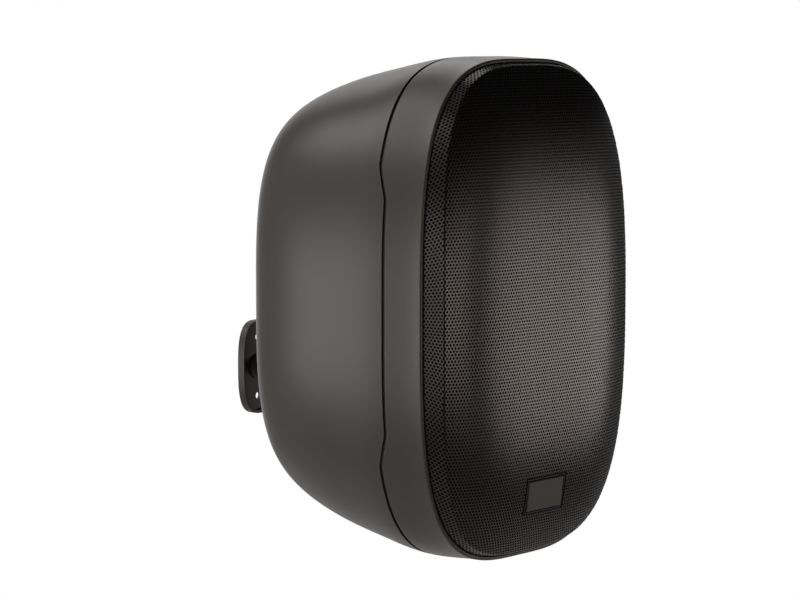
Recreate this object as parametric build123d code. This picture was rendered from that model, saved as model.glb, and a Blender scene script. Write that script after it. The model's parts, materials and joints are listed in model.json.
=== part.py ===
from build123d import *
import os
from math import atan, copysign, cos, degrees, pi, radians, sin, sqrt, tan

os.makedirs("parts", exist_ok=True)

# Outdoor wall speaker on a ball bracket, in millimetres.
# Frame: origin in the middle of the wall plate's back face, -Y out of the wall, +Z up.
# The cabinet is drawn about the centre of its front ring, with +Y running back, and moved out at the end.

# Cabinet outline at the front ring and at the seam
ring_width = 166.7
ring_height = 268.3
seam_width = 171.0
seam_height = 270.3
outline_power = 3.33
points_per_quarter = 6

# Cabinet depth: front band, seam, tapering rear shell with a flat pad at the back
band_depth = 29.4
seam_gap = 1.4
seam_jog = 5.3
jog_height = 124.0
jog_ramp = 17.0
jog_round = 12.0
shell_length = 126.0
back_cut = 2.0
side_powers = (1.91, 4.61)
end_powers = (1.06, 7.3)
rear_sections = 8
section_crowding = 1.8
wall = 3.0
edge_round = 1.0
gasket_inset = 1.3

# Front frame
lip_width = 1.7
baffle_depth = 6.0
baffle_thickness = 4.0

# Grille, its cloth and the bare badge plate
grille_gap = 0.8
grille_rise = 19.4
grille_sheet = 1.0
grille_side_power = 4.19
grille_end_power = 3.01
grille_levels = (0.0, 0.3, 0.55, 0.75, 0.88, 0.96, 0.99)
hole_sides = 6
hole_pitch = 17.0
hole_across = 10.5
hole_margin = 10.0
cloth_gap = 2.2
cloth_thickness = 1.2
badge_width = 29.7
badge_height = 16.5
badge_proud = 0.4
badge_drop = 98.9
badge_clearance = 0.7
badge_flange = 3.0
badge_flange_gap = 0.5
badge_flange_thickness = 1.0

# Woofer
woofer_diameter = 124.0
woofer_end_margin = 19.3
flange_width = 12.0
flange_thickness = 3.0
basket_sheet = 2.0
spider_ledge_depth = 25.0
spider_ledge_radius = 36.0
basket_neck_radius = 31.0
basket_neck_depth = 12.0
basket_windows = 6
window_width = 20.0
surround_roll = 4.0
surround_sheet = 0.8
surround_lip = 2.0
cone_depth = 21.0
cone_sheet = 1.0
coil_radius = 13.0
coil_sheet = 0.6
winding_thickness = 0.6
winding_length = 8.0
coil_clearance = 0.6
bond_gap = 0.05
cap_radius = 17.0
cap_height = 7.0
cap_sheet = 0.8
spider_sheet = 0.6
spider_wave = 1.4
spider_waves = 4
top_plate_radius = 37.0
top_plate_thickness = 5.0
magnet_radius = 40.0
magnet_bore = 20.0
magnet_thickness = 14.0
yoke_radius = 37.0
yoke_thickness = 5.0

# Tweeter
tweeter_diameter = 68.0
tweeter_end_margin = 26.0
dome_radius = 12.6
dome_height = 4.5
dome_sheet = 0.5
dome_rim = 4.0
dome_opening = 0.9
horn_radius = 20.0
horn_rise = 1.0
motor_radius = 23.5
motor_depth = 19.0

# Fasteners
screw_radius = 2.0
screw_head_radius = 3.8
screw_head_height = 2.4
screw_clearance = 0.15
cabinet_screw_bite = 22.0
driver_screw_length = 9.0
rear_screw_length = 12.0
screw_edge = 1.5
screw_tip = 2.0
ring_screws = 4
boss_radius = 5.0
boss_length = 28.0
corner_screw_side = 30.0
corner_screw_end = 26.0
middle_screw_side = 12.5
rib_thickness = 3.0

# Wire terminals and crossover at the back
terminal_height = 28.0
cup_width = 42.0
cup_height = 48.0
cup_depth = 22.0
cup_sheet = 2.0
cup_flange = 8.0
cup_round = 6.0
fit_clearance = 0.3
block_width = 34.0
block_height = 30.0
block_depth = 9.0
lever_width = 13.0
lever_spacing = 17.0
lever_length = 15.0
lever_sheet = 2.4
lever_angle = 25.0
barrel_radius = 1.7
barrel_height = 10.0
wire_hole_radius = 1.6
wire_hole_drop = 11.0
board_width = 60.0
board_height = 64.0
board_thickness = 1.6
post_height = 6.0
post_radius = 3.5
post_inset = 4.5
coil_pack_radius = 12.0
coil_pack_bore = 5.0
coil_pack_height = 13.0
capacitor_radius = 4.0
capacitor_length = 20.0
resistor_size = 7.0
resistor_length = 22.0

# Ball bracket
wall_gap = 49.0
mount_drop = 47.9
ball_radius = 10.0
ball_inset = 6.0
liner_clearance = 0.1
liner_sheet = 1.6
socket_clearance = 0.15
socket_wall = 6.0
socket_bore = 15.0
socket_flange = 8.0
socket_flange_thickness = 3.0
ring_flange_thickness = 2.5
swing_angle = 29.0
mouth_clearance = 0.5
liner_front = 8.5
liner_back = 4.5
stem_radius = 4.0
foot_radius = 6.0
foot_thickness = 1.5
collar_radius = 7.6
collar_height = 3.2
collar_edge = 1.0
collar_clearance = 0.2
plate_width = 28.7
plate_height = 55.2
plate_power = 3.0
plate_floor = 2.6
plate_depth = 5.0
plate_rim = 1.8
wall_screw_spacing = 35.0
wall_screw_radius = 2.25

# How far a cutting shape runs past what it cuts
past = 12.0

# Places that follow from the sizes
back_depth = band_depth + shell_length - back_cut
wall_to_ring = wall_gap + back_depth
ball_reach = wall_gap + ball_inset
ball_depth = back_depth - ball_inset
baffle_back = baffle_depth + baffle_thickness
woofer_radius = woofer_diameter / 2
tweeter_radius = tweeter_diameter / 2
woofer_z = woofer_end_margin + woofer_radius - ring_height / 2
tweeter_z = ring_height / 2 - tweeter_end_margin - tweeter_radius
flange_front = baffle_depth - flange_thickness
to_wall = Pos(0, -wall_to_ring, mount_drop)


def bow(value, power):
    return copysign(abs(value) ** (2 / power), value)


def outline(half_width, half_height, depth, power=outline_power):
    # A superellipse across the Y axis: flat bowed sides with soft corners
    steps = 4 * points_per_quarter
    turns = [2 * pi * step / steps for step in range(steps)]
    points = [
        (half_width * bow(cos(turn), power), depth, half_height * bow(sin(turn), power))
        for turn in turns
    ]
    return make_face(Spline(*points, periodic=True))


def along(face, length):
    return extrude(face, amount=length, dir=(0, 1, 0))


def turned(points, x=0.0, z=0.0):
    # A solid of revolution about an axis parallel to Y; points are (radius, depth)
    return Pos(x, 0, z) * revolve(make_face(Polyline(*points, close=True)), Axis.Y)


def drum(radius, start, end, x=0.0, z=0.0):
    return turned([(0, start), (radius, start), (radius, end), (0, end)], x, z)


def tube(inner, outer, start, end, x=0.0, z=0.0):
    return turned([(inner, start), (outer, start), (outer, end), (inner, end)], x, z)


def slab(width, height, start, end, x=0.0, z=0.0, corner=0.0):
    shape = RectangleRounded(width, height, corner) if corner else Rectangle(width, height)
    return Pos(x, start, z) * along(Plane.XZ * shape, end - start)


def cap(base_radius, rise, sheet, base, z):
    # A thin spherical cap that bulges to the front, with its rim at depth base
    ball = (base_radius**2 + rise**2) / (2 * rise)
    centre = base - rise + ball
    inner = ball - sheet
    rim = sqrt(inner**2 - (centre - base) ** 2)
    outer_arc = RadiusArc((base_radius, base), (0, base - rise), ball)
    inner_arc = RadiusArc((rim, base), (0, centre - inner), inner)
    edges = [
        outer_arc,
        Line((0, base - rise), (0, centre - inner)),
        inner_arc,
        Line((rim, base), (base_radius, base)),
    ]
    return Pos(0, 0, z) * revolve(make_face(edges), Axis.Y)


def screw(x, z, seat, length):
    head = drum(screw_head_radius, seat - screw_head_height, seat, x, z)
    return head + drum(screw_radius, seat, seat + length, x, z)


def rear_screw(x, z, seat, length):
    head = drum(screw_head_radius, seat, seat + screw_head_height, x, z)
    return head + drum(screw_radius, seat - length, seat, x, z)


def screw_hole(x, z, start, end):
    return drum(screw_radius + screw_clearance, start, end, x, z)


def screws(places, seat, length, kind=screw):
    return group(kind(x, z, seat, length) for x, z in places)


def on_circle(radius):
    # Screw places round a circle, starting half a step from the X axis
    angles = [pi * (2 * step + 1) / ring_screws for step in range(ring_screws)]
    return [(radius * cos(angle), radius * sin(angle)) for angle in angles]


def corners(width, height, middle):
    return [(x * width / 2, middle + z * height / 2) for x in (-1, 1) for z in (-1, 1)]


def group(solids):
    return Compound(children=list(solids))


def save(name, shape, place=to_wall):
    export_step(place * shape, f"parts/{name}.step")


def rear_half(seam_half, share, powers):
    return seam_half * (1 - share ** powers[0]) ** (1 / powers[1])


def body(inset):
    # The whole cabinet form, set in from its outer face: straight band, then the rear curve
    front = outline(ring_width / 2 - inset, ring_height / 2 - inset, 0)
    half_width = seam_width / 2 - inset
    half_height = seam_height / 2 - inset
    sections = [front, outline(half_width, half_height, band_depth)]
    length = shell_length - inset
    for step in range(1, rear_sections + 1):
        run = (length - back_cut) * (1 - (1 - step / rear_sections) ** section_crowding)
        share = run / length
        sections.append(
            outline(
                rear_half(half_width, share, side_powers),
                rear_half(half_height, share, end_powers),
                band_depth + run,
            )
        )
    return loft(sections)


def ahead_of_seam(shift):
    # All space in front of the seam: the line steps forward along the middle of each side
    back = band_depth + shift
    middle = back - seam_jog
    flat = jog_height / 2
    reach = seam_height
    profile = FilletPolyline(
        (-past, -reach),
        (back, -reach),
        (back, -flat - jog_ramp),
        (middle, -flat),
        (middle, flat),
        (back, flat + jog_ramp),
        (back, reach),
        (-past, reach),
        radius=jog_round,
        close=True,
    )
    return extrude(Plane.YZ * make_face(profile), amount=seam_width, both=True)


# Screw places shared by the frame and the shell
corner_x = ring_width / 2 - corner_screw_side
corner_z = ring_height / 2 - corner_screw_end
middle_x = ring_width / 2 - middle_screw_side
middle_z = (woofer_z + woofer_radius + tweeter_z - tweeter_radius) / 2
cabinet_screw_places = [(x, z) for x in (-corner_x, corner_x) for z in (-corner_z, corner_z)]
cabinet_screw_places += [(-middle_x, middle_z), (middle_x, middle_z)]
boss_meet = band_depth + seam_gap
boss_end = boss_meet + boss_length
screw_margin = screw_head_radius + screw_edge
woofer_screw_places = [(x, z + woofer_z) for x, z in on_circle(woofer_radius - screw_margin)]
tweeter_screw_places = [(x, z + tweeter_z) for x, z in on_circle(tweeter_radius - screw_margin)]
socket_flange_radius = socket_bore + socket_wall + socket_flange
socket_screw_circle = socket_flange_radius - socket_flange / 2
socket_screw_places = [(x, z - mount_drop) for x, z in on_circle(socket_screw_circle)]
board_screw_places = corners(cup_width - 2 * post_inset, cup_height - 2 * post_inset, terminal_height)
cup_screw_places = corners(cup_width + cup_flange, cup_height + cup_flange, terminal_height)
rear_screw_places = socket_screw_places + cup_screw_places
rear_boss_front = back_depth - wall - rear_screw_length

outer_body = body(0)
inner_body = body(wall)
front_space = ahead_of_seam(0)
gasket_space = ahead_of_seam(seam_gap)


# Front frame: band, lip, recess for the grille, baffle with its openings and screw bosses
front_frame = outer_body & front_space
front_edge = front_frame.edges().group_by(Axis.Y)[0]
front_frame = fillet(front_edge, edge_round)
seam_edge = front_frame.edges().filter_by(GeomType.LINE, reverse=True)
seam_edge = seam_edge.filter_by_position(Axis.Y, band_depth - seam_jog - edge_round, band_depth + edge_round)
front_frame = fillet(seam_edge, edge_round)
recess = outline(ring_width / 2 - lip_width, ring_height / 2 - lip_width, -past)
front_frame -= along(recess, past + baffle_depth)
front_frame -= inner_body - slab(2 * ring_width, 2 * ring_height, -past, baffle_back)
for x, z in cabinet_screw_places:
    front_frame += drum(boss_radius, baffle_back, boss_meet, x, z)
    front_frame -= screw_hole(x, z, -past, boss_meet)
basket_opening = woofer_radius - flange_width + basket_sheet + fit_clearance
front_frame -= drum(basket_opening, -past, baffle_back, 0, woofer_z)
front_frame -= drum(motor_radius + fit_clearance, -past, baffle_back, 0, tweeter_z)
for x, z in woofer_screw_places + tweeter_screw_places:
    front_frame -= screw_hole(x, z, -past, baffle_back)
save("front_frame", front_frame)

# Gasket between frame and shell, set in from the outer face so that the seam reads as a dark line
seam_gasket = (body(gasket_inset) - inner_body) & (gasket_space - front_space)
save("seam_gasket", seam_gasket)

# Rear shell: tapered tub with ribbed bosses, a socket opening and a terminal opening in its flat pad
rear_shell = outer_body - gasket_space - inner_body
bosses = []
for x, z in cabinet_screw_places:
    rib_x = x + copysign(seam_width / 4, x)
    boss = drum(boss_radius, boss_meet, boss_end, x, z)
    rib = slab(seam_width / 2, rib_thickness, boss_meet, boss_end, rib_x, z)
    bosses.append((boss + rib) & outer_body)
for x, z in rear_screw_places:
    bosses.append(drum(boss_radius, rear_boss_front, back_depth - wall, x, z) & outer_body)
for boss in bosses:
    rear_shell += boss
for x, z in cabinet_screw_places:
    rear_shell -= screw_hole(x, z, boss_meet, boss_meet + cabinet_screw_bite)
for x, z in rear_screw_places:
    rear_shell -= screw_hole(x, z, rear_boss_front, back_depth)
socket_hole = socket_bore + socket_wall + fit_clearance
rear_shell -= drum(socket_hole, rear_boss_front - past, back_depth + past, 0, -mount_drop)
rear_shell -= slab(
    cup_width + 2 * fit_clearance,
    cup_height + 2 * fit_clearance,
    back_depth - cup_depth,
    back_depth + past,
    0,
    terminal_height,
    cup_round,
)
save("rear_shell", rear_shell)
cabinet_screw_length = boss_meet - baffle_depth + cabinet_screw_bite - screw_tip
save("cabinet_screws", screws(cabinet_screw_places, baffle_depth, cabinet_screw_length))


# Grille: a pressed pillow of perforated sheet whose straight skirt stands on the baffle
grille_half_width = ring_width / 2 - lip_width - grille_gap
grille_half_height = ring_height / 2 - lip_width - grille_gap


def shrink(level, power):
    return (1 - level**power) ** (1 / power)


def pillow(inset):
    half_width = grille_half_width - inset
    half_height = grille_half_height - inset
    sections = [
        outline(
            half_width * shrink(level, grille_side_power),
            half_height * shrink(level, grille_end_power),
            (inset - grille_rise) * level,
        )
        for level in grille_levels
    ]
    return loft(sections) + along(outline(half_width, half_height, 0), baffle_depth)


def pillow_front(z):
    return -grille_rise * shrink(abs(z) / grille_half_height, grille_end_power)


def inside_grille(x, z, margin):
    across = abs(x) / (grille_half_width - margin)
    up = abs(z) / (grille_half_height - margin)
    return across**outline_power + up**outline_power < 1


badge_slope = pillow_front(1 - badge_drop) - pillow_front(-badge_drop)
badge_place = Pos(0, pillow_front(-badge_drop), -badge_drop) * Rot(-degrees(atan(badge_slope)), 0, 0)
window_width_badge = badge_width + 2 * badge_clearance
window_height_badge = badge_height + 2 * badge_clearance


def clear_of_badge(x, z):
    beside = abs(x) > (window_width_badge + hole_across) / 2 + grille_sheet
    apart = abs(z + badge_drop) > (window_height_badge + hole_across) / 2 + grille_sheet
    return beside or apart


row_step = hole_pitch * sin(pi / 3)
rows = int(grille_half_height / row_step)
columns = int(grille_half_width / hole_pitch) + 1
hole_places = [
    ((column + row % 2 / 2) * hole_pitch, row * row_step)
    for row in range(-rows, rows + 1)
    for column in range(-columns, columns + 1)
]
hole_places = [(x, z) for x, z in hole_places if inside_grille(x, z, hole_margin) and clear_of_badge(x, z)]
hole = Plane.XZ * RegularPolygon(hole_across / 2, hole_sides, major_radius=False, rotation=180 / hole_sides)
holes = [along(Pos(x, -grille_rise - past, z) * hole, grille_rise + past) for x, z in hole_places]
grille = pillow(0) - pillow(grille_sheet) - group(holes)
grille -= badge_place * slab(window_width_badge, window_height_badge, -past, past)
save("grille", grille)

badge_behind = grille_sheet + badge_flange_gap
badge_plate = slab(badge_width, badge_height, -badge_proud, badge_behind)
badge_plate += slab(
    badge_width + 2 * badge_flange,
    badge_height + 2 * badge_flange,
    badge_behind,
    badge_behind + badge_flange_thickness,
)
save("badge_plate", badge_place * badge_plate)

cloth_inset = grille_sheet + cloth_gap
save("grille_cloth", pillow(cloth_inset) - pillow(cloth_inset + cloth_thickness))


# Woofer, front to back, about its own axis
rim_inner = woofer_radius - flange_width
cone_rim = rim_inner - 2 * surround_roll
roll_middle = rim_inner - surround_roll
ledge = baffle_depth + spider_ledge_depth
neck = ledge + basket_neck_depth
coil_outer = coil_radius + coil_sheet
winding_outer = coil_outer + winding_thickness
plate_bore = winding_outer + coil_clearance
basket_bore = plate_bore + basket_sheet
basket = turned(
    [
        (rim_inner, flange_front),
        (woofer_radius, flange_front),
        (woofer_radius, baffle_depth),
        (rim_inner + basket_sheet, baffle_depth),
        (spider_ledge_radius + basket_sheet, ledge + basket_sheet),
        (basket_neck_radius + basket_sheet, ledge + basket_sheet),
        (basket_neck_radius + basket_sheet, neck),
        (basket_bore, neck),
        (basket_bore, neck - basket_sheet),
        (basket_neck_radius, neck - basket_sheet),
        (basket_neck_radius, ledge),
        (spider_ledge_radius, ledge),
        (rim_inner, baffle_depth),
    ]
)
window_start = baffle_back + basket_sheet
window_end = ledge - 2 * basket_sheet
for step in range(basket_windows):
    window = slab(window_width, woofer_radius, window_start, window_end, 0, woofer_radius)
    basket -= Rot(0, 360 * step / basket_windows, 0) * window
basket = Pos(0, 0, woofer_z) * basket
for x, z in woofer_screw_places:
    basket -= screw_hole(x, z, -past, baffle_depth)
save("woofer_basket", basket)
save("woofer_screws", screws(woofer_screw_places, flange_front, driver_screw_length))

roll = Circle(surround_roll + surround_sheet)
lips = Pos(0, -surround_sheet / 2) * Rectangle(2 * (surround_roll + surround_lip), surround_sheet)
roll_reach = surround_roll + past
front_half = Pos(0, -roll_reach / 2) * Rectangle(2 * roll_reach, roll_reach)
surround = ((roll + lips) & front_half) - Circle(surround_roll)
surround = revolve(Pos(roll_middle, flange_front) * surround, Axis.Y)
save("woofer_surround", Pos(0, 0, woofer_z) * surround)

cone_flat = cone_rim - surround_lip
cone_neck = coil_outer + bond_gap
cone_end = flange_front + cone_depth
cone = turned(
    [
        (cone_rim, flange_front),
        (cone_rim, flange_front + cone_sheet),
        (cone_flat, flange_front + cone_sheet),
        (cone_neck, cone_end + cone_sheet),
        (cone_neck, cone_end),
        (cone_flat, flange_front),
    ],
    z=woofer_z,
)
save("woofer_cone", cone)
cap_base = flange_front + cone_depth * (cone_flat - cap_radius) / (cone_flat - cone_neck) - bond_gap
save("dust_cap", cap(cap_radius, cap_height, cap_sheet, cap_base, woofer_z))

coil_end = neck + (top_plate_thickness + winding_length) / 2
voice_coil = turned(
    [
        (coil_radius, cone_end),
        (coil_outer, cone_end),
        (coil_outer, coil_end - winding_length),
        (winding_outer, coil_end - winding_length),
        (winding_outer, coil_end),
        (coil_radius, coil_end),
    ],
    z=woofer_z,
)
save("voice_coil", voice_coil)

wave_start = cone_neck + surround_lip
wave_step = (basket_neck_radius - wave_start) / (2 * spider_waves)
spider_line = [(cone_neck, 0)]
for step in range(2 * spider_waves + 1):
    spider_line.append((wave_start + wave_step * step, spider_wave * (step % 2)))
spider_line.append((spider_ledge_radius - fit_clearance, 0))
spider_front = [(radius, ledge - spider_sheet - lift) for radius, lift in spider_line]
spider_back = [(radius, ledge - lift) for radius, lift in reversed(spider_line)]
save("spider", turned(spider_front + spider_back, z=woofer_z))

plate_end = neck + top_plate_thickness
magnet_end = plate_end + magnet_thickness
pole_radius = coil_radius - coil_clearance
save("top_plate", tube(plate_bore, top_plate_radius, neck, plate_end, 0, woofer_z))
save("magnet", tube(magnet_bore, magnet_radius, plate_end, magnet_end, 0, woofer_z))
pole_yoke = drum(pole_radius, neck, magnet_end, 0, woofer_z)
pole_yoke += drum(yoke_radius, magnet_end, magnet_end + yoke_thickness, 0, woofer_z)
save("pole_yoke", pole_yoke)


# Tweeter: shallow horn plate, textile dome with its flat rim, sealed motor
dome_front = baffle_depth + dome_sheet
horn_mouth = dome_radius + dome_opening
faceplate = turned(
    [
        (horn_mouth, baffle_depth - horn_rise),
        (horn_radius, flange_front + horn_rise),
        (tweeter_radius, flange_front),
        (tweeter_radius, baffle_depth),
        (horn_mouth, baffle_depth),
    ],
    z=tweeter_z,
)
for x, z in tweeter_screw_places:
    faceplate -= screw_hole(x, z, -past, baffle_depth)
save("tweeter_faceplate", faceplate)
dome_inner = dome_radius - dome_sheet
tweeter_dome = cap(dome_radius, dome_height, dome_sheet, dome_front, tweeter_z)
tweeter_dome += tube(dome_inner, dome_radius + dome_rim, baffle_depth, dome_front, 0, tweeter_z)
save("tweeter_dome", tweeter_dome)
save("tweeter_motor", drum(motor_radius, dome_front, dome_front + motor_depth, 0, tweeter_z))
save("tweeter_screws", screws(tweeter_screw_places, flange_front, driver_screw_length))


# Terminal cup in the back, with posts that carry the crossover board inside the cabinet
cup_end = back_depth - cup_depth
cup_floor = cup_end + cup_sheet
flange_back = back_depth + cup_sheet
board_back = cup_end - post_height
terminal_cup = slab(cup_width, cup_height, cup_end, back_depth, 0, terminal_height, cup_round)
terminal_cup += slab(
    cup_width + 2 * cup_flange,
    cup_height + 2 * cup_flange,
    back_depth,
    flange_back,
    0,
    terminal_height,
    cup_round,
)
terminal_cup -= slab(
    cup_width - 2 * cup_sheet,
    cup_height - 2 * cup_sheet,
    cup_floor,
    flange_back,
    0,
    terminal_height,
    cup_round - cup_sheet,
)
for x, z in board_screw_places:
    terminal_cup += drum(post_radius, board_back, cup_end, x, z)
    terminal_cup -= screw_hole(x, z, board_back, cup_end)
for x, z in cup_screw_places:
    terminal_cup -= screw_hole(x, z, back_depth, flange_back)
save("terminal_cup", terminal_cup)
rear_screw_reach = wall + rear_screw_length - screw_tip
save("terminal_screws", screws(cup_screw_places, flange_back, rear_screw_reach + cup_sheet, rear_screw))

block_back = cup_floor + block_depth
block = slab(block_width, block_height, cup_floor, block_back, 0, terminal_height)
barrel_z = terminal_height + barrel_height
groove = Pos(0, block_back, barrel_z) * Rot(0, 90, 0) * Cylinder(barrel_radius + fit_clearance, block_width)
block -= groove
lever_places = (-lever_spacing / 2, lever_spacing / 2)
wire_z = terminal_height - wire_hole_drop
for x in lever_places:
    block -= drum(wire_hole_radius, block_back - block_depth / 2, block_back, x, wire_z)
save("terminal_block", block)
lever = Rot(0, 90, 0) * Cylinder(barrel_radius, lever_width)
tongue = Pos(0, 0, -lever_length / 2) * Box(lever_width, lever_sheet, lever_length)
lever += Rot(lever_angle, 0, 0) * Pos(0, lever_sheet / 2, 0) * tongue
for name, x in zip(("red_lever", "black_lever"), lever_places):
    save(name, Pos(x, block_back, barrel_z) * lever)

board_front = board_back - board_thickness
board = slab(board_width, board_height, board_front, board_back, 0, terminal_height)
for x, z in board_screw_places:
    board -= screw_hole(x, z, board_front, board_back)
save("crossover_board", board)
board_screw_length = board_thickness + post_height - screw_tip
save("board_screws", screws(board_screw_places, board_front, board_screw_length))
part_x = board_width / 4
coil_front = board_front - coil_pack_height
coil_pack = tube(coil_pack_bore, coil_pack_radius, coil_front, board_front, 0, terminal_height)
save("crossover_coils", group(Pos(x, 0, 0) * coil_pack for x in (-part_x, part_x)))
board_edge = board_height / 2 - fit_clearance
capacitor = Rot(0, 90, 0) * Cylinder(capacitor_radius, capacitor_length)
capacitor_y = board_front - capacitor_radius
capacitor_z = terminal_height - board_edge + capacitor_radius
save("crossover_capacitors", group(Pos(x, capacitor_y, capacitor_z) * capacitor for x in (-part_x, part_x)))
resistor_z = terminal_height + board_edge - resistor_size / 2
resistor = slab(resistor_length, resistor_size, board_front - resistor_size, board_front)
save("crossover_resistors", group(Pos(x, 0, resistor_z) * resistor for x in (-part_x, part_x)))


# Ball socket in the back pad: cup, clamp ring and their shared screws, about the ball centre
ball_place = Pos(0, ball_depth, -mount_drop)
liner_outer = ball_radius + liner_clearance + liner_sheet
socket_radius = liner_outer + socket_clearance
socket_outer = socket_bore + socket_wall
socket_end = socket_radius + socket_wall / 2
ring_seat = ball_inset + socket_flange_thickness
ring_back = ring_seat + ring_flange_thickness
socket_cup = turned(
    [
        (0, -socket_end),
        (socket_outer, -socket_end),
        (socket_outer, ball_inset),
        (socket_flange_radius, ball_inset),
        (socket_flange_radius, ring_seat),
        (socket_bore, ring_seat),
        (socket_bore, 0),
        (0, 0),
    ]
)
socket_cup = ball_place * (socket_cup - Sphere(socket_radius))
mouth_start = stem_radius / cos(radians(swing_angle)) + mouth_clearance
mouth_end = mouth_start + ring_back * tan(radians(swing_angle))
clamp_ring = turned(
    [
        (0, fit_clearance),
        (socket_bore - fit_clearance, fit_clearance),
        (socket_bore - fit_clearance, ring_seat),
        (socket_flange_radius, ring_seat),
        (socket_flange_radius, ring_back),
        (0, ring_back),
    ]
)
clamp_ring -= Sphere(socket_radius)
clamp_ring -= turned([(0, 0), (mouth_start, 0), (mouth_end, ring_back), (0, ring_back)])
clamp_ring = ball_place * clamp_ring
ring_depth = ball_depth + ring_back
for x, z in socket_screw_places:
    socket_cup -= screw_hole(x, z, back_depth, ring_depth)
    clamp_ring -= screw_hole(x, z, back_depth, ring_depth)
save("socket_cup", socket_cup)
save("clamp_ring", clamp_ring)
socket_screw_length = rear_screw_reach + ring_depth - back_depth
save("socket_screws", screws(socket_screw_places, ring_depth, socket_screw_length, rear_screw))
liner = Sphere(liner_outer) - Sphere(ball_radius + liner_clearance)
save("ball_liner", ball_place * (liner & drum(liner_outer + past, -liner_front, liner_back)))


# Wall bracket, drawn in the wall's own frame: tray plate, captive stem with its ball, domed collar
at_wall = Pos(0, 0, 0)
foot_front = -plate_floor - foot_thickness
ball_stem = drum(foot_radius, foot_front, -plate_floor) + drum(stem_radius, -ball_reach, foot_front)
ball_stem += Pos(0, -ball_reach, 0) * Sphere(ball_radius)
save("ball_stem", ball_stem, at_wall)

collar_front = -plate_floor - collar_height
collar_hole = stem_radius + collar_clearance
collar_seat = foot_front - collar_clearance
collar = turned(
    [
        (collar_hole, collar_front),
        (collar_radius, collar_front),
        (collar_radius, -plate_floor),
        (foot_radius + collar_clearance, -plate_floor),
        (foot_radius + collar_clearance, collar_seat),
        (collar_hole, collar_seat),
    ]
)
# The dome is a sphere about the stem axis, through the collar's outer shoulder and its mouth
rise = collar_height - collar_edge
dome_middle = (collar_radius**2 - collar_hole**2 - rise**2) / (2 * rise)
dome_ball = sqrt(collar_radius**2 + dome_middle**2)
collar &= Pos(0, dome_middle - plate_floor - collar_edge, 0) * Sphere(dome_ball)
save("stem_collar", collar, at_wall)

plate = along(outline(plate_width / 2, plate_height / 2, -plate_depth, plate_power), plate_depth)
pocket = outline(plate_width / 2 - plate_rim, plate_height / 2 - plate_rim, -plate_depth, plate_power)
plate -= along(pocket, plate_depth - plate_floor)
for z in (-wall_screw_spacing / 2, wall_screw_spacing / 2):
    plate -= drum(wall_screw_radius, -plate_depth, 0, 0, z)
save("wall_plate", plate, at_wall)
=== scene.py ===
import json
import math

import bpy
import numpy as np
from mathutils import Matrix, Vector


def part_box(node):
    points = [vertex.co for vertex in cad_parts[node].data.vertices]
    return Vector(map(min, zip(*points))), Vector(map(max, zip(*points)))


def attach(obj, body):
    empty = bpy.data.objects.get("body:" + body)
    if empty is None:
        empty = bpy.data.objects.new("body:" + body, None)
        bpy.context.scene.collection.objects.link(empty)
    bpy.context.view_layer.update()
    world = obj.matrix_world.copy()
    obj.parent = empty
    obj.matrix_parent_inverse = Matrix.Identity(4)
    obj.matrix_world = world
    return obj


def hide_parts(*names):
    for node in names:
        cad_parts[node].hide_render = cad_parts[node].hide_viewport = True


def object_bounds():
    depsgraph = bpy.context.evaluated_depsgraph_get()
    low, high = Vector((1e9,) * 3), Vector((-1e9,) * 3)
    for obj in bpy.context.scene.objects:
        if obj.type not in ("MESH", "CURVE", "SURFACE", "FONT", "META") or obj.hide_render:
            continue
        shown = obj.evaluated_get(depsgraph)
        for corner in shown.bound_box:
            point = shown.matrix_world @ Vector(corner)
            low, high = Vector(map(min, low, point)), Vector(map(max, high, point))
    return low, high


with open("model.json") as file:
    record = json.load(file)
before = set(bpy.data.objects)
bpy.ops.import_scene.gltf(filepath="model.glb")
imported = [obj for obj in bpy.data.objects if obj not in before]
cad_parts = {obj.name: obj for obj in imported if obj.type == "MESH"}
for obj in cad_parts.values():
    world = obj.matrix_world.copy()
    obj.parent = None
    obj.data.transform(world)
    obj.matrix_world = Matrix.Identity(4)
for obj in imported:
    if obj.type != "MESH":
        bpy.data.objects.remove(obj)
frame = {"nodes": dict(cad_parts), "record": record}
cadLow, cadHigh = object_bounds()
ringLow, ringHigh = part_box("front_frame")
ringMiddle = Vector((0, ringLow.y, (ringLow.z + ringHigh.z) / 2))
print("frame loaded, front ring at", [round(value, 4) for value in ringMiddle])


class Shade:
    # one socket of a material; arithmetic on it adds Math nodes
    def __init__(self, finish, socket):
        self.finish = finish
        self.socket = socket

    def math(self, operation, first, second):
        return self.finish.add("ShaderNodeMath", {"operation": operation}, {0: first, 1: second})

    def __add__(self, other):
        return self.math("ADD", self, other)

    def __sub__(self, other):
        return self.math("SUBTRACT", self, other)

    def __rsub__(self, other):
        return self.math("SUBTRACT", other, self)

    def __mul__(self, other):
        return self.math("MULTIPLY", self, other)

    __radd__ = __add__
    __rmul__ = __mul__

    def over(self, other):
        return self.math("MAXIMUM", self, other)


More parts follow.
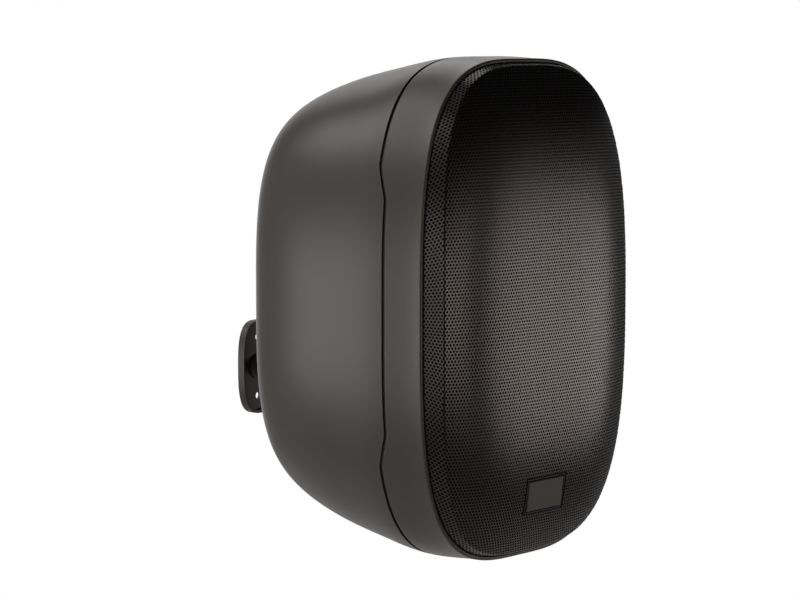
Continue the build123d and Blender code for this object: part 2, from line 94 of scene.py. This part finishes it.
class Finish:
    # a node material; add is the only maker of nodes
    def __init__(self, name):
        self.material = bpy.data.materials.new(name)
        self.material.use_nodes = True
        self.tree = self.material.node_tree
        self.shader = self.tree.nodes["Principled BSDF"]
        self.place = self.add("ShaderNodeTexCoord", out="Object")

    def feed(self, socket, value):
        if isinstance(value, Shade):
            self.tree.links.new(value.socket, socket)
        else:
            socket.default_value = value

    def add(self, kind, settings=None, sockets=None, out=0):
        node = self.tree.nodes.new(kind)
        for name, value in (settings or {}).items():
            setattr(node, name, value)
        for name, value in (sockets or {}).items():
            self.feed(node.inputs[name], value)
        return Shade(self, node.outputs[out])

    def noise(self, size, detail=2.0, stretch=(1, 1, 1)):
        # grain about size metres across, longer where stretch is under 1
        where = self.add("ShaderNodeMapping", {}, {"Vector": self.place, "Scale": stretch})
        return self.add("ShaderNodeTexNoise", {}, {"Vector": where, "Scale": 1 / size, "Detail": detail})

    def bands(self, size, axis):
        # even ridges, size metres from one to the next; the node repeats every pi / 10 at a scale of 1
        settings = {"wave_type": "BANDS", "bands_direction": axis, "wave_profile": "SIN"}
        return self.add("ShaderNodeTexWave", settings, {"Vector": self.place, "Scale": math.pi / 10 / size})

    def blend(self, share, first, second):
        sockets = {0: share, 6: (*first, 1), 7: (*second, 1)}
        return self.add("ShaderNodeMix", {"data_type": "RGBA"}, sockets, 2)

    def tint(self, share, colour, spread):
        # colour drifts by spread either side of the written one
        dark = [channel * (1 - spread) for channel in colour]
        pale = [channel * (1 + spread) for channel in colour]
        self.set("Base Color", self.blend(share, dark, pale))

    def relief(self, height, depth):
        sockets = {"Height": height, "Distance": depth, "Strength": 1.0}
        self.set("Normal", self.add("ShaderNodeBump", {}, sockets))

    def set(self, name, value):
        self.feed(self.shader.inputs[name], value)


noiseMiddle = 0.5  # the mean of a noise texture

moulding = {
    "detail": 3.0,
    "driftSize": 0.05,
    "tintSpread": 0.06,
    "glossSpread": 0.1,
    "shine": 0.5,
    "gleam": (1, 1, 1),
}


def moulded(name, look):
    # plastics, paints and rubbers: slow colour drift, fine grain in gloss and relief
    finish = Finish(name)
    grain = finish.noise(look["grain"], moulding["detail"])
    finish.tint(finish.noise(moulding["driftSize"]), look["colour"], moulding["tintSpread"])
    finish.set("Roughness", look["rough"] + moulding["glossSpread"] * (grain - noiseMiddle))
    finish.relief(grain, look["depth"])
    finish.set("Specular IOR Level", look.get("shine", moulding["shine"]))
    finish.set("Specular Tint", (*look.get("gleam", moulding["gleam"]), 1))
    return finish.material


brushing = {"detail": 3.0, "stretch": (1, 0.05, 1), "tintSpread": 0.12, "glossSpread": 0.2}


def brushed(name, look):
    # metal with drawn lines, which run along the depth axis
    finish = Finish(name)
    lines = finish.noise(look["grain"], brushing["detail"], brushing["stretch"])
    finish.tint(lines, look["colour"], brushing["tintSpread"])
    finish.set("Roughness", look["rough"] + brushing["glossSpread"] * (lines - noiseMiddle))
    finish.set("Metallic", 1.0)
    finish.relief(lines, look["depth"])
    return finish.material


weaving = {"threadShare": 0.5, "driftGrains": 6, "tintSpread": 0.3, "glossSpread": 0.1, "shine": 0.5}


def woven(name, look):
    # crossed threads, with a slow drift of colour
    finish = Finish(name)
    grain, share = look["grain"], weaving["threadShare"]
    threads = finish.bands(grain, "X") * finish.bands(grain, "Z")
    drift = finish.noise(grain * weaving["driftGrains"])
    finish.tint(share * threads + (1 - share) * drift, look["colour"], weaving["tintSpread"])
    finish.set("Roughness", look["rough"] - weaving["glossSpread"] * threads)
    finish.set("Specular IOR Level", look.get("shine", weaving["shine"]))
    finish.relief(threads, look["depth"])
    return finish.material


winding = {"tintSpread": 0.25, "glossSpread": 0.15}


def wound(name, look):
    # enamelled wire laid turn on turn along the depth axis
    finish = Finish(name)
    turns = finish.bands(look["grain"], "Y")
    finish.tint(turns, look["colour"], winding["tintSpread"])
    finish.set("Roughness", look["rough"] + winding["glossSpread"] * (1 - turns))
    finish.set("Metallic", 1.0)
    finish.relief(turns, look["depth"])
    return finish.material


# one entry for each material slot of the record: how it is made, and its look;
# grain is the size and depth the height of the relief, in metres
finishes = {
    "cabinet_plastic": (
        moulded,
        {
            "colour": (0.027, 0.0235, 0.0213),
            "rough": 0.34,
            "grain": 0.0005,
            "depth": 0.00002,
            "shine": 0.13,
            "gleam": (1, 0.92, 0.86),
        },
    ),
    "gasket_rubber": (
        moulded,
        {"colour": (0.008, 0.008, 0.008), "rough": 0.7, "grain": 0.0008, "depth": 0.00003},
    ),
    "grille_steel": (
        moulded,
        {
            "colour": (0.004, 0.0037, 0.0035),
            "rough": 0.29,
            "grain": 0.0006,
            "depth": 0.00001,
            "shine": 0.25,
            "gleam": (1, 0.91, 0.86),
        },
    ),
    "weather_cloth": (
        woven,
        {"colour": (0.004, 0.004, 0.004), "rough": 0.98, "grain": 0.0008, "depth": 0.0001, "shine": 0.0},
    ),
    "badge_grey": (
        moulded,
        {"colour": (0.035, 0.032, 0.03), "rough": 0.55, "grain": 0.0004, "depth": 0.00001, "shine": 0.1},
    ),
    "basket_steel": (
        moulded,
        {"colour": (0.02, 0.02, 0.021), "rough": 0.45, "grain": 0.0009, "depth": 0.00002},
    ),
    "cone_paper": (
        woven,
        {"colour": (0.02, 0.02, 0.022), "rough": 0.75, "grain": 0.0015, "depth": 0.00006},
    ),
    "surround_rubber": (
        moulded,
        {"colour": (0.01, 0.01, 0.01), "rough": 0.6, "grain": 0.0008, "depth": 0.00003},
    ),
    "spider_cloth": (
        woven,
        {"colour": (0.45, 0.3, 0.11), "rough": 0.85, "grain": 0.0007, "depth": 0.00008},
    ),
    "copper_wire": (
        wound,
        {"colour": (0.7, 0.32, 0.16), "rough": 0.3, "grain": 0.0008, "depth": 0.0001},
    ),
    "motor_steel": (
        brushed,
        {"colour": (0.5, 0.5, 0.49), "rough": 0.35, "grain": 0.0006, "depth": 0.00001},
    ),
    "ferrite": (
        moulded,
        {"colour": (0.035, 0.035, 0.037), "rough": 0.6, "grain": 0.0012, "depth": 0.00006},
    ),
    "dome_textile": (
        woven,
        {"colour": (0.015, 0.015, 0.016), "rough": 0.7, "grain": 0.0005, "depth": 0.00004},
    ),
    "driver_plastic": (
        moulded,
        {"colour": (0.018, 0.018, 0.019), "rough": 0.5, "grain": 0.0006, "depth": 0.00003},
    ),
    "circuit_board": (
        woven,
        {"colour": (0.03, 0.16, 0.06), "rough": 0.4, "grain": 0.0012, "depth": 0.00002},
    ),
    "capacitor_film": (
        moulded,
        {"colour": (0.05, 0.12, 0.3), "rough": 0.25, "grain": 0.002, "depth": 0.00001},
    ),
    "resistor_ceramic": (
        moulded,
        {"colour": (0.66, 0.64, 0.59), "rough": 0.8, "grain": 0.0007, "depth": 0.00006},
    ),
    "lever_red": (
        moulded,
        {"colour": (0.5, 0.02, 0.02), "rough": 0.35, "grain": 0.0008, "depth": 0.00002},
    ),
    "lever_black": (
        moulded,
        {"colour": (0.015, 0.015, 0.015), "rough": 0.35, "grain": 0.0008, "depth": 0.00002},
    ),
    "screw_steel": (
        brushed,
        {"colour": (0.16, 0.16, 0.165), "rough": 0.35, "grain": 0.0004, "depth": 0.00001},
    ),
    "socket_nylon": (
        moulded,
        {"colour": (0.03, 0.03, 0.031), "rough": 0.55, "grain": 0.0007, "depth": 0.00004},
    ),
    "liner_nylon": (
        moulded,
        {"colour": (0.62, 0.6, 0.55), "rough": 0.5, "grain": 0.0009, "depth": 0.00002},
    ),
    "stem_steel": (
        moulded,
        {"colour": (0.02, 0.02, 0.02), "rough": 0.35, "grain": 0.0007, "depth": 0.00001},
    ),
    "bracket_metal": (
        moulded,
        {"colour": (0.02, 0.0175, 0.016), "rough": 0.42, "grain": 0.0006, "depth": 0.00002, "shine": 0.12},
    ),
}
materials = {slot: make(slot, look) for slot, (make, look) in finishes.items()}
for part in frame["record"]["subparts"]:
    mesh = frame["nodes"][part["node"]].data
    mesh.materials.clear()
    mesh.materials.append(materials[part["material_slot"]])
print("finishes made:", len(materials))


def addPiece(name, points, faces, slot, body="speaker"):
    # faces is a list of index arrays, one array for each number of corners
    mesh = bpy.data.meshes.new(name)
    mesh.from_pydata(points.tolist(), [], [face for group in faces for face in group.tolist()])
    mesh.materials.append(materials[slot])
    mesh.polygons.foreach_set("use_smooth", np.ones(len(mesh.polygons), bool))
    piece = bpy.data.objects.new(name, mesh)
    bpy.context.scene.collection.objects.link(piece)
    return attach(piece, body)


def creaseEdges(piece, degrees):
    # edges that turn by more than this stay sharp
    piece.data.set_sharp_from_angle(angle=math.radians(degrees))


def closedGrid(rings, steps):
    # quads between rings of steps points, where both directions close
    ring, step = np.meshgrid(np.arange(rings), np.arange(steps), indexing="ij")
    nextRing, nextStep = (ring + 1) % rings, (step + 1) % steps
    here, beyond = ring * steps, nextRing * steps
    return np.stack((here + step, here + nextStep, beyond + nextStep, beyond + step), -1).reshape(-1, 4)


def cappedGrid(rings, steps):
    # quads from the first ring to the last, and one many-cornered lid on each end
    lids = np.stack([np.arange(steps)[::-1], (rings - 1) * steps + np.arange(steps)])
    return closedGrid(rings, steps)[:-steps, ::-1], lids


grille = {
    "pitch": 0.002,  # hole to hole, rows level and staggered by half a hole
    "hole": 0.00128,  # across the flats
    "sheet": 0.0003,
    "outlinePower": 3.33,
    "bevelWidth": {"side": 0.0033, "end": 0.0015},  # from the rim in to the crease
    "pillowRise": {"side": 0.008, "end": 0.0143},  # from the crease out to the crown
    "pillowPower": {"side": 3.8, "end": 5.5},
    "skirtRun": 0.0028,  # how far the holes go on down the straight skirt
    "rays": 181,
    "steps": 240,
    "probe": 0.00001,  # step for measuring a slope
    "sharp": 65,  # degrees
}
grilleLow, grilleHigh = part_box("grille")
halfWide = (grilleHigh.x - grilleLow.x) / 2
halfHigh = (grilleHigh.z - grilleLow.z) / 2
rise = ringMiddle.y - grilleLow.y
creaseWide = halfWide - grille["bevelWidth"]["side"]
creaseHigh = halfHigh - grille["bevelWidth"]["end"]


def rayReach(angle, wide, high):
    # distance from the axis, along a direction, to a superellipse
    power = grille["outlinePower"]
    across, up = np.abs(np.cos(angle) / wide), np.abs(np.sin(angle) / high)
    return (across**power + up**power) ** (-1 / power)


def fromSideToEnd(angle, name):
    # a value of the sides that turns into the ends' as the outline's normal turns from level to upright
    power = grille["outlinePower"]
    level = np.abs(np.cos(angle)) ** (power - 1) / creaseWide**power
    upright = np.abs(np.sin(angle)) ** (power - 1) / creaseHigh**power
    sideways = (level / (level + upright)) ** 2
    return grille[name]["end"] + (grille[name]["side"] - grille[name]["end"]) * sideways


def pillowDrop(angle, share):
    # how far the pillow falls from its crown: a power of the share of the way to the crease
    return fromSideToEnd(angle, "pillowRise") * share ** fromSideToEnd(angle, "pillowPower")


# length of sheet from the crown out to the crease along each ray of a quarter,
# and the share of the way there at even steps of that length
rayAngles = np.linspace(0, np.pi / 2, grille["rays"])
shares = np.linspace(0, 1, grille["steps"])
drops = pillowDrop(rayAngles[:, None], shares)
creaseReaches = rayReach(rayAngles, creaseWide, creaseHigh)
stretches = np.hypot(creaseReaches[:, None] * np.diff(shares), np.diff(drops, axis=1))
lengths = np.concatenate([np.zeros((grille["rays"], 1)), np.cumsum(stretches, axis=1)], axis=1)
creaseLengths = lengths[:, -1]
shareAtLength = np.stack([np.interp(shares, row / row[-1], shares) for row in lengths])


def bevelLength(angle):
    # the straight slope from the crease to the rim
    across = rayReach(angle, halfWide, halfHigh) - rayReach(angle, creaseWide, creaseHigh)
    return np.hypot(across, rise - fromSideToEnd(angle, "pillowRise"))


def pressed(u, v):
    # a point of the flat sheet goes out along its ray by the same length of pressed sheet: over the pillow,
    # straight down the bevel from the crease to the rim, then straight back along the skirt
    angle = np.arctan2(np.abs(v), np.abs(u))
    distance = np.hypot(u, v)
    column = angle / (np.pi / 2) * (grille["rays"] - 1)
    left = np.clip(column.astype(int), 0, grille["rays"] - 2)
    blend = column - left
    creaseLength = np.interp(angle, rayAngles, creaseLengths)
    row = np.clip(distance / creaseLength, 0, 1) * (grille["steps"] - 1)
    low = np.clip(row.astype(int), 0, grille["steps"] - 2)
    part = row - low
    near = shareAtLength[left, low] * (1 - part) + shareAtLength[left, low + 1] * part
    far = shareAtLength[left + 1, low] * (1 - part) + shareAtLength[left + 1, low + 1] * part
    share = near * (1 - blend) + far * blend
    crease, rim = rayReach(angle, creaseWide, creaseHigh), rayReach(angle, halfWide, halfHigh)
    bevel = bevelLength(angle)
    down = np.clip((distance - creaseLength) / bevel, 0, 1)
    past = np.maximum(distance - creaseLength - bevel, 0)
    reach = share * crease + down * (rim - crease)
    bevelDrop = down * (rise - fromSideToEnd(angle, "pillowRise"))
    depth = rise - pillowDrop(angle, share) - bevelDrop - past
    x, z = np.sign(u) * reach * np.cos(angle), np.sign(v) * reach * np.sin(angle)
    return np.stack([x, ringMiddle.y - depth, ringMiddle.z + z], -1), past


def onPillow(u, v):
    # the pressed point, its normal from two short steps across the sheet, and how far down the skirt it is
    probe = grille["probe"]
    points, past = pressed(u, v)
    across = pressed(u + probe, v)[0] - pressed(u - probe, v)[0]
    up = pressed(u, v + probe)[0] - pressed(u, v - probe)[0]
    normals = np.cross(across, up)
    return points, normals / np.linalg.norm(normals, axis=-1, keepdims=True), past


def pillowPoint(x, z):
    # the pillow straight in front of a place inside the crease
    angle = np.arctan2(np.abs(z), np.abs(x))
    share = np.hypot(x, z) / rayReach(angle, creaseWide, creaseHigh)
    return np.stack([x, ringMiddle.y - rise + pillowDrop(angle, share), ringMiddle.z + z], -1)


badge = {
    "flange": 0.003,  # of the solid plate, hidden behind the sheet
    "proud": 0.0003,  # its middle, in front of the sheet
    "lean": 0.13,  # the flat plate stands more upright than the sheet: sunk above, proud below
    "chamfer": 0.0004,
    "thick": 0.0016,
    "gap": 0.0008,  # to the window all round
    "sideSteps": 24,
    "eye": 0.001,  # share of the size at which the loops stop, in the middle
    "sharp": 20,
}
window = {"edge": 0.0005, "clearance": 0.0007, "sharp": 40}
badgeLow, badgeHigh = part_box("badge_plate")
windowX = badgeHigh.x - badge["flange"] + window["clearance"]
windowMiddle = (badgeLow.z + badgeHigh.z) / 2 - ringMiddle.z
windowZ = (badgeHigh.z - badgeLow.z) / 2 - badge["flange"] + window["clearance"]


def makeGrille():
    # a lattice of six-sided holes: quads join the facing sides of neighbours, triangles the corners of three
    pitch = grille["pitch"]
    rowStep = pitch * math.sqrt(3) / 2
    farthest = halfHigh + rise + grille["skirtRun"]
    rows = int(farthest / rowStep) + 2
    columns = int(farthest / pitch) + rows // 2 + 2
    column, row = np.meshgrid(np.arange(-columns, columns + 1), np.arange(-rows, rows + 1), indexing="ij")
    u, v = (column + row / 2) * pitch, row * rowStep
    centres, _, past = onPillow(u, v)
    x, z = centres[..., 0], centres[..., 2] - ringMiddle.z
    reach = grille["hole"] / 2 + window["edge"] / 2
    inWindow = (np.abs(x) < windowX + reach) & (np.abs(z - windowMiddle) < windowZ + reach)
    kept = (past < grille["skirtRun"]) & ~inWindow
    number = np.where(kept, np.cumsum(kept).reshape(kept.shape) - 1, -1)

    corner = np.radians(30 + 60 * np.arange(6))
    radius = grille["hole"] / math.sqrt(3)
    cornerU = u[kept][:, None] + radius * np.cos(corner)
    cornerV = v[kept][:, None] + radius * np.sin(corner)
    front, normals, _ = onPillow(cornerU.ravel(), cornerV.ravel())
    back = front - normals * grille["sheet"]
    count = len(front)

    def beside(right, up):
        # the site one step away in the lattice, or -1
        return np.roll(number, (-right, -up), (0, 1))

    neighbours = [beside(1, 0), beside(0, 1), beside(-1, 1)]
    quads = []
    for turn, other in enumerate(neighbours):
        joined = (number >= 0) & (other >= 0)
        here, there = number[joined] * 6, other[joined] * 6
        order = (here + (turn + 5) % 6, there + (turn + 3) % 6, there + (turn + 2) % 6, here + turn)
        quads.append(np.stack(order, -1))
    quads = np.concatenate(quads)
    triangles = []
    for first, second, corners in ((0, 1, (0, 2, 4)), (1, 2, (1, 3, 5))):
        joined = (number >= 0) & (neighbours[first] >= 0) & (neighbours[second] >= 0)
        sites = (number[joined], neighbours[first][joined], neighbours[second][joined])
        triangles.append(np.stack([site * 6 + place for site, place in zip(sites, corners)], -1))
    triangles = np.concatenate(triangles)

    points = np.concatenate([front, back])
    for name, upper in (("grilleUpper", True), ("grilleLower", False)):
        fronts = [face[(front[face, 2].mean(1) >= ringMiddle.z) == upper] for face in (quads, triangles)]
        # an edge with a face on one side only gets a wall through the sheet
        starts = np.concatenate([face.ravel() for face in fronts])
        ends = np.concatenate([np.roll(face, -1, 1).ravel() for face in fronts])
        single = ~np.isin(ends * count + starts, starts * count + ends)
        starts, ends = starts[single], ends[single]
        walls = np.stack([starts, starts + count, ends + count, ends], -1)
        faces = [*fronts, *(face[:, ::-1] + count for face in fronts), walls]
        used = np.unique(np.concatenate([face.ravel() for face in faces]))
        renumber = np.full(len(points), -1)
        renumber[used] = np.arange(len(used))
        piece = addPiece(name, points[used], [renumber[face] for face in faces], "grille_steel")
        creaseEdges(piece, grille["sharp"])
        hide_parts("grille")
        print(name, "triangles:", sum(len(face) * (face.shape[1] - 2) for face in faces))
    print("grille holes:", int(kept.sum()))


skirt = {"overlap": 0.0015, "inset": 0.0003, "steps": 240, "sharp": 40}


def makeSkirt():
    # a four-cornered section carried round the outline, from under the last holes to the baffle
    turn = np.linspace(0, 2 * np.pi, skirt["steps"], endpoint=False)
    power = 2 / grille["outlinePower"]
    across = np.sign(np.cos(turn)) * np.abs(np.cos(turn)) ** power
    up = np.sign(np.sin(turn)) * np.abs(np.sin(turn)) ** power
    outer, inner = skirt["inset"], skirt["inset"] + grille["sheet"]
    start = ringMiddle.y + grille["skirtRun"] - skirt["overlap"]
    rings = []
    for inset, depth in ((outer, start), (outer, grilleHigh.y), (inner, grilleHigh.y), (inner, start)):
        x, z = (halfWide - inset) * across, ringMiddle.z + (halfHigh - inset) * up
        rings.append(np.stack([x, np.full_like(turn, depth), z], -1))
    faces = closedGrid(len(rings), len(turn))[:, ::-1]
    band = addPiece("grilleSkirt", np.concatenate(rings), [faces], "grille_steel")
    creaseEdges(band, skirt["sharp"])
    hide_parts("grille")


def rectangleLoop(steps):
    # once round a square from -1 to 1, as two arrays
    side = np.linspace(-1, 1, steps, endpoint=False)
    one = np.ones_like(side)
    return np.concatenate([side, one, -side, -one]), np.concatenate([-one, side, one, -side])


def makeWindowEdge():
    # the cut edge of the sheet round the badge, a four-cornered section carried round a rectangle
    across, up = rectangleLoop(badge["sideSteps"])
    rings = []
    for grow, sink in ((0, 0), (window["edge"], 0), (window["edge"], 1), (0, 1)):
        x, z = across * (windowX + grow), windowMiddle + up * (windowZ + grow)
        rings.append(pillowPoint(x, z) + np.array([0, grille["sheet"] * sink, 0]))
    faces = closedGrid(len(rings), len(across))[:, ::-1]
    edge = addPiece("badgeWindowEdge", np.concatenate(rings), [faces], "grille_steel")
    creaseEdges(edge, window["sharp"])
    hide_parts("grille")


def makeBadge():
    # a bare flat plate: loops of the window's shape, from the middle of the face over a chamfer
    # to the middle of the back
    across, up = rectangleLoop(badge["sideSteps"])
    wide, high = windowX - badge["gap"], windowZ - badge["gap"]
    face, back = -badge["proud"], badge["thick"] - badge["proud"]
    section = (
        (badge["eye"], 0, face),
        (1, badge["chamfer"], face),
        (1, 0, face + badge["chamfer"]),
        (1, 0, back),
        (badge["eye"], 0, back),
    )
    middle = pillowPoint(np.float64(0), np.float64(windowMiddle))
    rings = []
    for share, inset, depth in section:
        x, z = across * (wide - inset) * share, up * (high - inset) * share
        rings.append(middle + np.stack([x, depth - badge["lean"] * z, z], -1))
    faces = cappedGrid(len(rings), len(across))
    plate = addPiece("badgePlate", np.concatenate(rings), faces, "badge_grey")
    creaseEdges(plate, badge["sharp"])
    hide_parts("badge_plate")


cloth = {
    "gap": 0.0003,  # behind the sheet
    "thick": 0.001,
    "spokes": 240,
    "skirt": 0.002,  # how far it goes on past the rim
    "inside": {"start": 0.002, "rings": 40},  # shares of the way from the crown to the crease
    "outside": {"start": 0.08, "rings": 8},  # and from the crease to the skirt's end
}


def makeCloth():
    # a thin skin behind the sheet: spokes from the crown out over the rim, and back one thickness lower
    turn = np.linspace(0, 2 * np.pi, cloth["spokes"], endpoint=False)
    quarter = np.arctan2(np.abs(np.sin(turn)), np.abs(np.cos(turn)))
    crease = np.interp(quarter, rayAngles, creaseLengths)
    inside, outside = (
        np.linspace(cloth[name]["start"], 1, cloth[name]["rings"])[:, None] for name in ("inside", "outside")
    )
    distance = np.concatenate([inside * crease, crease + outside * (bevelLength(quarter) + cloth["skirt"])])
    points, normals, _ = onPillow(distance * np.cos(turn), distance * np.sin(turn))
    front = points - normals * (grille["sheet"] + cloth["gap"])
    back = front - normals * cloth["thick"]
    layers = np.concatenate([front, back[::-1]])
    skin = addPiece("clothSkin", layers.reshape(-1, 3), cappedGrid(len(layers), len(turn)), "weather_cloth")
    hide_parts("grille_cloth")


makeGrille()
makeSkirt()
makeWindowEdge()
makeBadge()
makeCloth()
print("grille, badge and cloth made")


rearScrew = {
    "nodes": ("socket_screws", "terminal_screws"),
    "headRadius": 0.0038,
    "headHeight": 0.0024,
    "crown": 0.55,  # share of the radius at the flat top
    "domeFoot": 0.35,  # share of the height at which the dome starts
    "domeSteps": 7,
    "socketAcross": 0.0025,
    "socketDepth": 0.0013,
    "shankRadius": 0.002,
    "eyeRadius": 0.00001,  # at which the rings stop, on the axis
    "steps": 36,
    "sharp": 35,
}


def makeScrews(node):
    # button heads with a six-sided socket: rings whose radius is round or six-sided, carried from the tip
    # up over the dome, whose radius falls with the square of the height, and down to the socket's floor
    low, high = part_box(node)
    turn = np.linspace(0, 2 * np.pi, rearScrew["steps"], endpoint=False)
    flat = rearScrew["socketAcross"] / 2 / np.cos((turn % (np.pi / 3)) - np.pi / 6)
    radius, shank, eye = rearScrew["headRadius"], rearScrew["shankRadius"], rearScrew["eyeRadius"]
    top, seat, foot = high.y, high.y - rearScrew["headHeight"], rearScrew["domeFoot"]
    floor = top - rearScrew["socketDepth"]
    bend = np.linspace(0, 1, rearScrew["domeSteps"])
    reaches = radius * (1 - (1 - rearScrew["crown"]) * bend**2)
    heights = seat + rearScrew["headHeight"] * (foot + (1 - foot) * bend)
    profile = [(eye, low.y), (shank, low.y), (shank, seat), (radius, seat), *zip(reaches, heights)]
    profile += [(flat, top), (flat, floor), (eye, floor)]
    rings = [
        np.stack([reach * np.cos(turn), np.full_like(turn, depth), reach * np.sin(turn)], -1)
        for reach, depth in profile
    ]
    screw = np.concatenate(rings)
    sides, lids = cappedGrid(len(rings), len(turn))
    middle = (low + high) / 2
    wide, tall = (high.x - low.x) / 2 - radius, (high.z - low.z) / 2 - radius
    places = [(middle.x + x * wide, 0, middle.z + z * tall) for x in (-1, 1) for z in (-1, 1)]
    points = np.concatenate([screw + np.array(place) for place in places])
    starts = np.arange(len(places))[:, None, None] * len(screw)
    faces = [(group + starts).reshape(-1, group.shape[1]) for group in (sides, lids)]
    piece = addPiece(f"{node}_heads", points, faces, "screw_steel")
    creaseEdges(piece, rearScrew["sharp"])
    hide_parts(node)


for screwNode in rearScrew["nodes"]:
    makeScrews(screwNode)
print("rear screws made")


photo = {
    "width": 800,
    "height": 600,
    "focal": 2536.95,  # in pixels
    "sensor": 36.0,
    "distance": 1.3658,
    "azimuth": 51.273,  # degrees to the left of straight ahead
    "elevation": 6.014,
    "ringPixel": (522.47, 308.39),  # where the middle of the front ring lies
}


def makeCamera():
    # looks past the ring's middle, so that this lands on its pixel; returns the level direction of view
    turn, lift = math.radians(photo["azimuth"]), math.radians(photo["elevation"])
    right = Vector((math.cos(turn), -math.sin(turn), 0))
    ahead = Vector((math.sin(turn) * math.cos(lift), math.cos(turn) * math.cos(lift), -math.sin(lift)))
    up = right.cross(ahead)
    aim = ahead + right * ((photo["width"] / 2 - photo["ringPixel"][0]) / photo["focal"])
    aim += up * ((photo["ringPixel"][1] - photo["height"] / 2) / photo["focal"])
    data = bpy.data.cameras.new("photoCamera")
    data.sensor_width = photo["sensor"]
    data.lens = photo["focal"] * photo["sensor"] / photo["width"]
    camera = bpy.data.objects.new("photoCamera", data)
    camera.location = ringMiddle - ahead * photo["distance"]
    camera.rotation_mode = "QUATERNION"
    camera.rotation_quaternion = aim.to_track_quat("-Z", "Y")
    bpy.context.scene.collection.objects.link(camera)
    bpy.context.scene.camera = camera
    return Vector((ahead.x, ahead.y, 0)).normalized()


warm = (1, 0.92, 0.89)
studio = {
    "floorDrop": 0.85,
    "floorRadius": 10.0,
    "wallTop": 1.4,  # the floor turns up into a low round wall
    "floorWhite": 0.2,  # share of plain white; the rest shows the shadow
    "backdropWhite": 1.0,
    "paneColour": (0.84, 0.84, 0.84),
    "paneRough": 0.9,
    "paneDrift": 0.4,
    "paneSpread": 0.01,
    "steps": 64,
    "backdropAway": 3.2,
    "backdropLeft": 1.9,
    "backdropRight": 1.3,
    "backdropTop": 2.0,
    "surround": 0.04,
    "lights": {
        "leftPanel": {"place": (-1.32, 1.05, -0.14), "size": (1.4, 0.32), "power": 15},
        "topPanel": {"place": (-1.15, 0.6, 1.1), "size": (1.5, 1.0), "power": 29.5},
        "shoulderPanel": {"place": (-0.55, 0.5, 1.65), "size": (0.8, 0.8), "power": 8},
        "rearPanel": {"place": (-0.8, 1.5, 1.0), "size": (0.8, 0.6), "power": 7.5},
        "crownPanel": {"place": (0.5, 0.3, 1.7), "size": (0.8, 0.8), "power": 6.5},
        "rimPanel": {"place": (0.7, 1.12, 1.35), "size": (1.3, 0.8), "power": 7.5},
        "edgePanel": {"place": (-1.85, -0.25, -0.05), "size": (0.6, 0.5), "power": 7},
        "rightPanel": {"place": (1.5, -1.35, -0.18), "size": (1.1, 0.4), "power": 10.4, "tint": warm},
        "frontPanel": {"place": (0.25, -2.1, -0.12), "size": (1.1, 0.25), "power": 10.4, "tint": warm},
    },
}


def addPane(name, points, faces, white):
    # part of the surroundings: plain white to the camera and to reflections by the share white, else lit
    mesh = bpy.data.meshes.new(name)
    mesh.from_pydata(points, [], faces)
    finish = Finish(name)
    seen = finish.add("ShaderNodeLightPath", out="Is Camera Ray")
    rays = seen.socket.node.outputs
    for ray in ("Is Glossy Ray", "Is Transmission Ray"):
        seen = seen.over(Shade(finish, rays[ray]))
    finish.tint(finish.noise(studio["paneDrift"]), studio["paneColour"], studio["paneSpread"])
    finish.set("Roughness", studio["paneRough"])
    lit = Shade(finish, finish.shader.outputs[0])
    plain = finish.add("ShaderNodeEmission", {}, {"Color": (1, 1, 1, 1), "Strength": 1.0})
    mixed = finish.add("ShaderNodeMixShader", {}, {0: seen * white, 1: lit, 2: plain})
    finish.tree.links.new(mixed.socket, finish.tree.nodes["Material Output"].inputs["Surface"])
    mesh.materials.append(finish.material)
    pane = bpy.data.objects.new(name, mesh)
    bpy.context.scene.collection.objects.link(pane)


def makeStudio(away):
    # a round floor with a low wall, a white backdrop behind the object, a dim world and the lamps
    level, steps = cadLow.z - studio["floorDrop"], studio["steps"]
    turn = np.linspace(0, 2 * np.pi, steps, endpoint=False)
    across, along = studio["floorRadius"] * np.cos(turn), studio["floorRadius"] * np.sin(turn)
    rings = [np.stack([across, along, np.full(steps, height)], -1) for height in (level, studio["wallTop"])]
    faces = [list(range(steps)), *closedGrid(2, steps)[:steps, ::-1].tolist()]
    addPane("floor", np.concatenate(rings).tolist(), faces, studio["floorWhite"])
    middle, side = away * studio["backdropAway"], Vector((-away.y, away.x, 0))
    left, right = middle + side * studio["backdropLeft"], middle - side * studio["backdropRight"]
    foot, head = Vector((0, 0, level)), Vector((0, 0, studio["backdropTop"]))
    corners = [left + foot, right + foot, right + head, left + head]
    addPane("backdrop", corners, [(0, 1, 2, 3)], studio["backdropWhite"])
    world = bpy.data.worlds.new("studio")
    world.use_nodes = True
    grey = studio["surround"]
    world.node_tree.nodes["Background"].inputs["Color"].default_value = (grey, grey, grey, 1)
    bpy.context.scene.world = world
    for name, light in studio["lights"].items():
        data = bpy.data.lights.new(name, "AREA")
        data.shape = "RECTANGLE"
        data.size, data.size_y = light["size"]
        data.energy = light["power"]
        data.color = light.get("tint", (1, 1, 1))
        lamp = bpy.data.objects.new(name, data)
        lamp.location = light["place"]
        lamp.rotation_mode = "QUATERNION"
        lamp.rotation_quaternion = (ringMiddle - Vector(light["place"])).to_track_quat("-Z", "Y")
        lamp.visible_camera = False
        bpy.context.scene.collection.objects.link(lamp)


makeStudio(makeCamera())
bpy.context.scene.view_settings.view_transform = "Standard"
print("camera and studio set")
